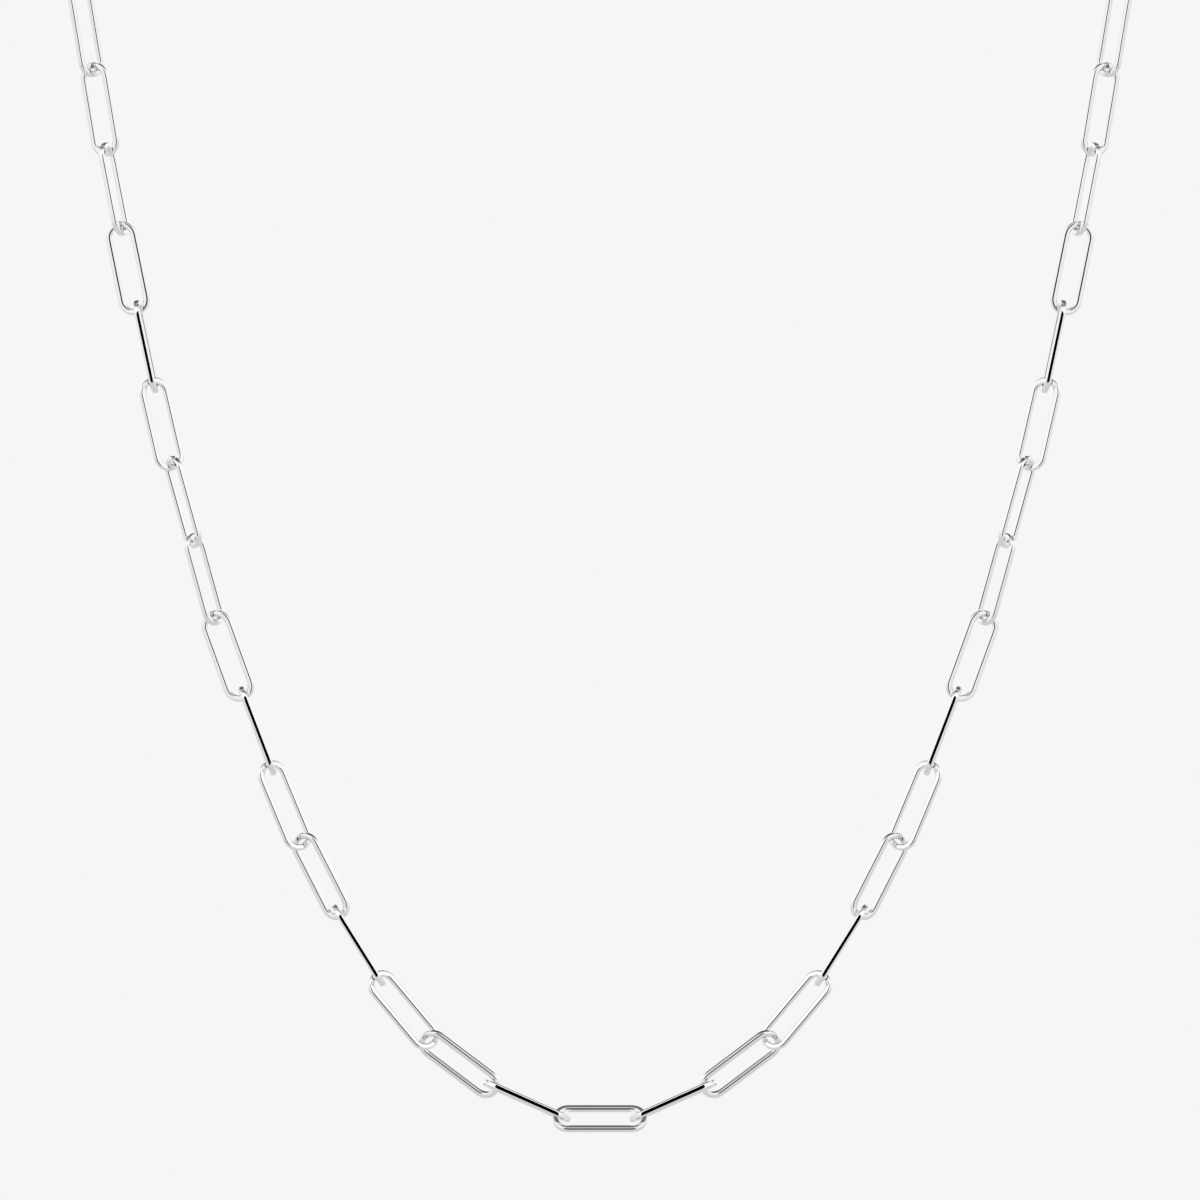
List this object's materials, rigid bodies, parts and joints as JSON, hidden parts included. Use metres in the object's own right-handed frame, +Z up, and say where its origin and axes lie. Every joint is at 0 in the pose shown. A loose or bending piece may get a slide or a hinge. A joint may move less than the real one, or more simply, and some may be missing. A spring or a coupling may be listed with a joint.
{
  "type": "paperclip chain necklace",
  "caption": "Necklace of long round-ended silver links in a closed loop, held as worn, with a plain clasp at the nape.",
  "frame": {"origin": "middle of the clasp's inner face, where it rests on the nape of the wearer's neck", "axes": "+Z up, the front of the chain towards -Y, +X towards the right of a viewer who looks along +Y"},
  "size_m": [0.1214, 0.0559, 0.1586],
  "materials": {
    "link_silver": "polished sterling silver",
    "clasp_silver": "polished sterling silver, cast"
  },
  "bodies": {
    "root": {"lowest_link": "link_silver", "left_link_01": "link_silver", "left_link_02": "link_silver", "left_link_03": "link_silver", "left_link_04": "link_silver", "left_link_05": "link_silver", "left_link_06": "link_silver", "left_link_07": "link_silver", "left_link_08": "link_silver", "left_link_09": "link_silver", "left_link_10": "link_silver", "left_link_11": "link_silver", "left_link_12": "link_silver", "left_link_13": "link_silver", "left_link_14": "link_silver", "left_link_15": "link_silver", "left_link_16": "link_silver", "left_link_17": "link_silver", "right_link_01": "link_silver", "right_link_02": "link_silver", "right_link_03": "link_silver", "right_link_04": "link_silver", "right_link_05": "link_silver", "right_link_06": "link_silver", "right_link_07": "link_silver", "right_link_08": "link_silver", "right_link_09": "link_silver", "right_link_10": "link_silver", "right_link_11": "link_silver", "right_link_12": "link_silver", "right_link_13": "link_silver", "right_link_14": "link_silver", "right_link_15": "link_silver", "right_link_16": "link_silver", "right_link_17": "link_silver", "left_back_chain": "link_silver", "right_back_chain": "link_silver", "clasp": "clasp_silver"}
  },
  "joints": []
}
